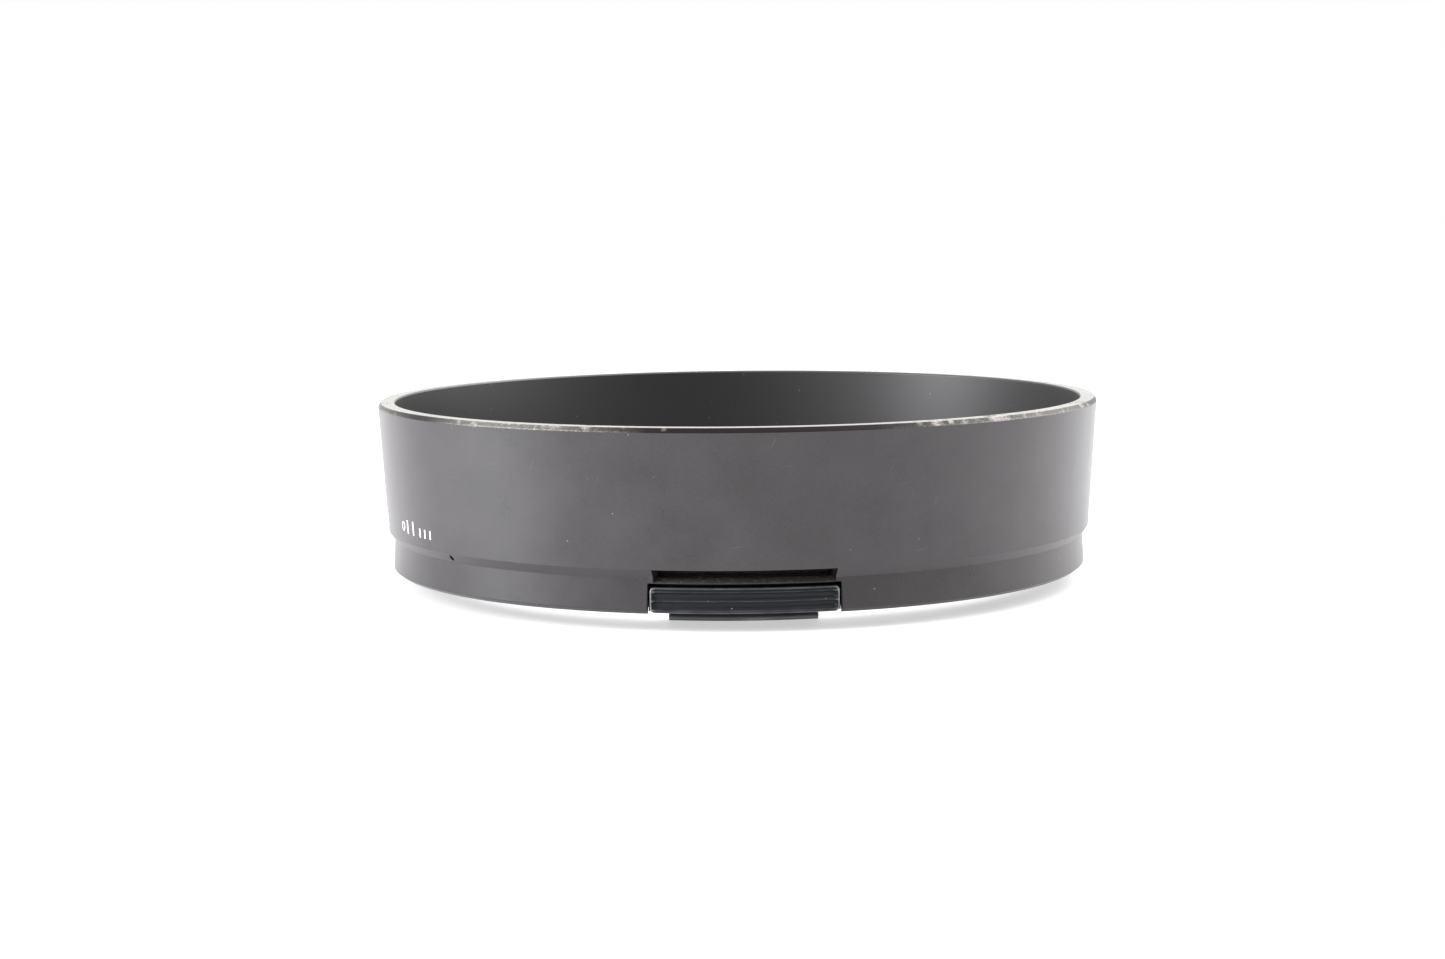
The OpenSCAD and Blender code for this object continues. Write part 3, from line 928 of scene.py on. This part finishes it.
def faceBlock(shape, turn):
    bm = bmesh.new()
    columns, rows = faceColumns(shape), 88
    low, high, radius = shape["lowZ"], shape["highZ"], shape["cornerR"]
    grid, backs = [], []
    for u in columns:
        line = []
        for k in range(rows + 1):
            z = low + (high - low) * k / rows
            near = max(0, radius - min(z - low, high - z))
            x = u * (1 - (radius - math.sqrt(radius ** 2 - near ** 2)) / shape["halfW"])
            r = shape["faceR"] - faceDepth(shape, x, z)
            line.append(bm.verts.new(turn @ Vector((x, -math.sqrt(r * r - x * x), z)) * mm))
        grid.append(line)
    for line, u in zip(grid, columns):
        outline = line if abs(u) == shape["halfW"] else (line[0], line[-1])
        spots = [turn.transposed() @ v.co / mm for v in outline]
        behind = [Vector((p.x, -math.sqrt(shape["backR"] ** 2 - p.x ** 2), p.z)) for p in spots]
        backs.append([bm.verts.new(turn @ spot * mm) for spot in behind])
    last = len(columns) - 1
    for i in range(last):
        for k in range(rows):
            bm.faces.new((grid[i][k], grid[i + 1][k], grid[i + 1][k + 1], grid[i][k + 1]))
        for k in (0, -1):
            bm.faces.new((grid[i][k], grid[i + 1][k], backs[i + 1][k], backs[i][k]))
        if i == 0:
            bm.faces.new(backs[0] + backs[1][::-1])
        elif i == last - 1:
            bm.faces.new(backs[i] + backs[last][::-1])
        else:
            bm.faces.new((backs[i][0], backs[i][1], backs[i + 1][1], backs[i + 1][0]))
    for i in (0, last):
        for k in range(rows):
            bm.faces.new((grid[i][k], grid[i][k + 1], backs[i][k + 1], backs[i][k]))
    return bm


def arcPoints(radius, fromX, toX, steps):
    start, end = math.asin(fromX / radius), math.asin(toX / radius)
    angles = [start + (end - start) * i / steps for i in range(steps + 1)]
    return [(radius * math.sin(a), -radius * math.cos(a)) for a in angles]


# The slider behind the face: a bridge that stops it, flanges that guide it in the notch, wings for the
# springs and a tongue over the jaw
def addSlider(button, shape, turn):
    half, wing = shape["bridgeHalfW"], shape["wingInnerX"]
    low, high = shape["bridgeLowZ"], shape["bridgeHighZ"]
    plan = arcPoints(shape["bridgeOuterR"], -half, half, 60)
    plan += [(half, -shape["wingY"]), (wing, -shape["wingY"])]
    plan += arcPoints(shape["bridgeInnerR"], wing, -wing, 40)
    plan += [(-wing, -shape["wingY"]), (-half, -shape["wingY"])]
    carve(button, newObject("bridge", prism(plan, low, high, turn)), "UNION")
    wide, rise = shape["flangeHalfW"], shape["flangeRise"]
    plan = arcPoints(shape["flangeR"], -wide, wide, 60) + arcPoints(shape["backR"], wide, -wide, 40)
    flange = prism(plan, shape["lowZ"] + rise, shape["highZ"] - rise, turn)
    carve(button, newObject("flange", flange), "UNION")
    wide, outY, inY = shape["tongueHalfW"], shape["tongueOutY"], shape["tongueInY"]
    tongue = roundCorners([(-wide, -outY, 0), (wide, -outY, 0), (wide, -inY, 0.5), (-wide, -inY, 0.5)])
    carve(button, newObject("tongue", prism(tongue, shape["tongueLowZ"], high - 0.01, turn)), "UNION")
    for hand in (-1, 1):
        plan = circle(shape["stakeR"], 40, hand * shape["stakeX"], -shape["stakeY"])
        carve(button, newObject("stake", prism(plan, low + 0.1, shape["stakeTopZ"], turn)), "UNION")
        plan = circle(shape["spigotR"], 32, hand * shape["springX"], shape["springZ"])
        spigot = prism(plan, shape["spigotInY"], shape["spigotOutY"], turn @ alongY)
        carve(button, newObject("spigot", spigot), "UNION")


# Fingers rub the raised rim and the ribs, most of all at the corners. The same lightening also stands for
# painted highlights on the rim's edge and the rib crests
def wearAndHighlightButton(button, shape, turn):
    worn = []
    for vertex in button.data.vertices:
        place = turn.transposed() @ vertex.co / mm
        inset = insetOf(shape, place.x, place.z)
        rim = max(0, 1 - abs(inset - 0.05) / 0.1)
        corner = max(0, 1 - (shape["halfW"] - abs(place.x)) / 0.5)
        rib = max(0, 1 - min(abs(place.z - z) for z in shape["ribZ"]) / 0.09)
        rubbed = min(1, rim * (0.35 + 0.65 * corner) + rib * (0.16 + 0.5 * corner))
        worn.append(rubbed if math.hypot(place.x, place.y) > shape["frontR"] else 0.0)
    keepValues(button, "wear", "POINT", worn)


def makeButton(side, shape):
    turn = aboutZ(sideTurns[side])
    button = newObject("releaseButton." + side, faceBlock(shape, turn))
    addSlider(button, shape, turn)
    wearAndHighlightButton(button, shape, turn)
    dress(button, buttonMaterial)
    smooth(button, 32)
    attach(button, side + "_catch")
    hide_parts("release_button_" + side)


for side in sideTurns:
    makeButton(side, buttonShape)
print("release buttons made")


# Return springs: round wire, closed and ground flat at both ends
springShape = {
    "x": buttonShape["springX"],
    "z": buttonShape["springZ"],
    "outerY": 28.77,
    "innerY": 25.93,
    "coilD": 1.5,
    "wireD": 0.2,
    "turns": 5,
    "endTurns": 0.8,
    "endClimb": 0.07,
    "stepsPerTurn": 24,
    "sides": 10,
    "travel": 1.0,
}


def springTube(shape, hand, turn):
    bm = bmesh.new()
    coilR, wireR = (shape["coilD"] - shape["wireD"]) / 2, shape["wireD"] / 2
    length = shape["outerY"] - shape["innerY"] - shape["wireD"]
    closed, endClimb = shape["endTurns"], shape["endClimb"]
    total = shape["turns"] + 2 * closed
    count = round(total * shape["stepsPerTurn"])
    rings = []
    for i in range(count + 1):
        t = total * i / count
        climb = min(max(t - closed, 0) / shape["turns"], 1) * (1 - 2 * endClimb)
        climb += endClimb * (min(t / closed, 1) + max(0, 1 - (total - t) / closed))
        a = 2 * math.pi * t
        ring = []
        for k in range(shape["sides"]):
            b = 2 * math.pi * k / shape["sides"]
            r = coilR + wireR * math.cos(b)
            along = shape["innerY"] + wireR + length * climb + wireR * math.sin(b)
            spot = Vector((hand * shape["x"] + r * math.cos(a), -along, shape["z"] + r * math.sin(a)))
            ring.append(bm.verts.new(turn @ spot * mm))
        rings.append(ring)
    for here, there in zip(rings, rings[1:]):
        for k in range(shape["sides"]):
            m = (k + 1) % shape["sides"]
            bm.faces.new((here[k], here[m], there[m], there[k]))
    bm.faces.new(rings[0][::-1])
    bm.faces.new(rings[-1])
    return bm


def makeSpring(side, handName, hand, shape):
    turn = aboutZ(sideTurns[side])
    name = side + "_" + handName
    spring = newObject("returnSpring." + name, springTube(shape, hand, turn))
    dress(spring, wireMaterial)
    smooth(spring, 40)
    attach(spring, "hood")
    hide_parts("return_spring_" + name)
    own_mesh(spring)


for side in sideTurns:
    for handName, hand in (("left", -1), ("right", 1)):
        makeSpring(side, handName, hand, springShape)
print("return springs made")


# The plate, jaws and screws keep their shape from the frame and get eased edges and real finishes
easedEdge = {
    "plateMm": 0.06,
    "jawMm": 0.05,
    "screwMm": 0.03,
    "weldMm": 0.001,
    "segments": 2,
    "sharperThanDeg": 30,
    "flatsFirst": 100,
}


def finishNode(name, material, edgeMm, edge):
    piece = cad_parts[name]
    dress(piece, material)
    weld = piece.modifiers.new("weld", "WELD")
    weld.merge_threshold = edge["weldMm"] * mm
    bevel = piece.modifiers.new("edges", "BEVEL")
    bevel.width = edgeMm * mm
    bevel.segments = edge["segments"]
    bevel.limit_method = "ANGLE"
    bevel.angle_limit = math.radians(edge["sharperThanDeg"])
    normals = piece.modifiers.new("normals", "WEIGHTED_NORMAL")
    normals.weight = edge["flatsFirst"]


finishNode("rear_plate", plateMaterial, easedEdge["plateMm"], easedEdge)
for side in sideTurns:
    finishNode("catch_jaw_" + side, jawMaterial, easedEdge["jawMm"], easedEdge)
for i in range(4):
    finishNode("plate_screw_" + str(i + 1), screwMaterial, easedEdge["screwMm"], easedEdge)
print("plate, jaws and screws finished")


# Printed marks on the skirt, low at the left: a ring, bars and ticks, as thin layers of ink.
# Each bar is azimuth in degrees, lower height, width and height in mm
printedMarks = {
    "ring": (-66.2, 6.9, 0.42, 0.13),
    "bars": [(-64.2, 6.3, 0.24, 1.25), (-61.9, 6.3, 0.24, 1.25), (-59.3, 6.3, 0.22, 0.8),
             (-57.6, 6.3, 0.22, 0.8), (-55.9, 6.3, 0.22, 0.8), (-79.4, 6.0, 0.3, 1.25),
             (-81.6, 6.0, 0.3, 1.25), (-83.8, 6.0, 0.3, 1.25)],
    "inkMm": 0.02,
}


# Point on the skirt's outer wall, given an azimuth in degrees, a step sideways and a height in mm
def onSkirt(shape, azimuthDeg, aside, z, proud):
    top = shape["rimZ"] - shape["rimBevel"]
    share = (z - shape["skirtZ"]) / (top - shape["skirtZ"])
    r = shape["skirtR"] + (shape["rimR"] - shape["skirtR"]) * share + proud
    a = math.radians(azimuthDeg) + aside / r
    return Vector((r * math.sin(a), -r * math.cos(a), z)) * mm


# Closed strip of ink between two lines of (aside, height) points
def addInk(bm, shape, azimuthDeg, outer, inner, ink, loop):
    lines = []
    for line, proud in ((outer, ink), (inner, ink), (inner, -ink), (outer, -ink)):
        lines.append([bm.verts.new(onSkirt(shape, azimuthDeg, x, z, proud)) for x, z in line])
    count = len(outer)
    for i in range(count if loop else count - 1):
        m = (i + 1) % count
        for a, b in zip(lines, lines[1:] + lines[:1]):
            bm.faces.new((a[i], a[m], b[m], b[i]))
    if not loop:
        bm.faces.new([line[0] for line in lines])
        bm.faces.new([line[-1] for line in lines[::-1]])


def makeMarks(shape, marks):
    bm = bmesh.new()
    azimuth, z, radius, width = marks["ring"]
    outer = [(x, z + y) for x, y in circle(radius, 40)]
    inner = [(x, z + y) for x, y in circle(radius - width, 40)]
    addInk(bm, shape, azimuth, outer, inner, marks["inkMm"], True)
    for azimuth, z, width, height in marks["bars"]:
        left = [(-width / 2, z), (-width / 2, z + height)]
        right = [(width / 2, z), (width / 2, z + height)]
        addInk(bm, shape, azimuth, left, right, marks["inkMm"], False)
    piece = newObject("printedMarks", bm)
    dress(piece, inkMaterial)
    smooth(piece, 30)
    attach(piece, "hood")


makeMarks(shellShape, printedMarks)
print("printed marks made")


# White table under a dim even glow, lit by soft patches of daylight round about and a window at the left.
# Each patch: azimuth and elevation in degrees, how tightly it falls off, its strength and its colour.
# Strengths and colours come from a least-squares fit made by a separate program, not from setting them by
# eye. Only the patch behind the hood, at azimuth 180, and the even glow were given, not fitted
studio = {
    "tableM": 3.0,
    "glow": 0.12,
    "backdrop": "#ffffff",
    "patches": [
        (0, 90, 4, 1.98, "#fef8ff"),
        (90, 5, 8, 1.75, "#fffdfc"),
        (-45, 5, 8, 1.58, "#f6f9ff"),
        (-90, 5, 8, 1.55, "#eff5ff"),
        (180, 5, 8, 1.6, "#ffffff"),
        (0, 40, 8, 0.27, "#fff6ec"),
        (60, 40, 8, 1.32, "#fef6ff"),
        (120, 40, 8, 5.96, "#ffffff"),
        (-120, 40, 8, 1.24, "#ffffff"),
        (-80, 15, 30, 6.04, "#fdfdff"),
        (-80, 28, 30, 23.0, "#fdfdff"),
    ],
}


def makeTable(look):
    bm = bmesh.new()
    bmesh.ops.create_grid(bm, x_segments=1, y_segments=1, size=look["tableM"] / 2)
    table = newObject("table", bm)
    dress(table, makeTableTop(opalAcrylic))


def makeSky(look):
    world = bpy.data.worlds.new("daylight")
    world.use_nodes = True
    tree = world.node_tree
    tree.nodes.clear()
    ray = addNode(tree, "ShaderNodeTexCoord").outputs["Generated"]
    light = None
    for azimuth, elevation, falloff, strength, color in look["patches"]:
        a, e = math.radians(azimuth), math.radians(elevation)
        toward = (math.sin(a) * math.cos(e), -math.cos(a) * math.cos(e), math.sin(e))
        settings = {"operation": "DOT_PRODUCT", 1: toward}
        facing = addNode(tree, "ShaderNodeVectorMath", settings, {0: ray})
        facing = combine(tree, "MAXIMUM", facing.outputs["Value"], 0)
        patch = combine(tree, "MULTIPLY", combine(tree, "POWER", facing, falloff), strength)
        settings = {"operation": "SCALE", 0: hexColor(color)[:3]}
        tint = addNode(tree, "ShaderNodeVectorMath", settings, {"Scale": patch})
        if light is None:
            light = tint.outputs[0]
        else:
            light = addNode(tree, "ShaderNodeVectorMath", links={0: light, 1: tint.outputs[0]}).outputs[0]
    light = addNode(tree, "ShaderNodeVectorMath", {1: (look["glow"],) * 3}, {0: light}).outputs[0]
    seen = addNode(tree, "ShaderNodeLightPath").outputs["Is Camera Ray"]
    light = blendColor(tree, seen, light, hexColor(look["backdrop"]))
    glow = addNode(tree, "ShaderNodeBackground", {"Strength": 1.0}, {"Color": light})
    addNode(tree, "ShaderNodeOutputWorld", links={"Surface": glow.outputs[0]})
    scene.world = world


makeTable(studio)
makeSky(studio)
scene.view_settings.view_transform = "Standard"
scene.view_settings.look = "None"
print("studio lit")
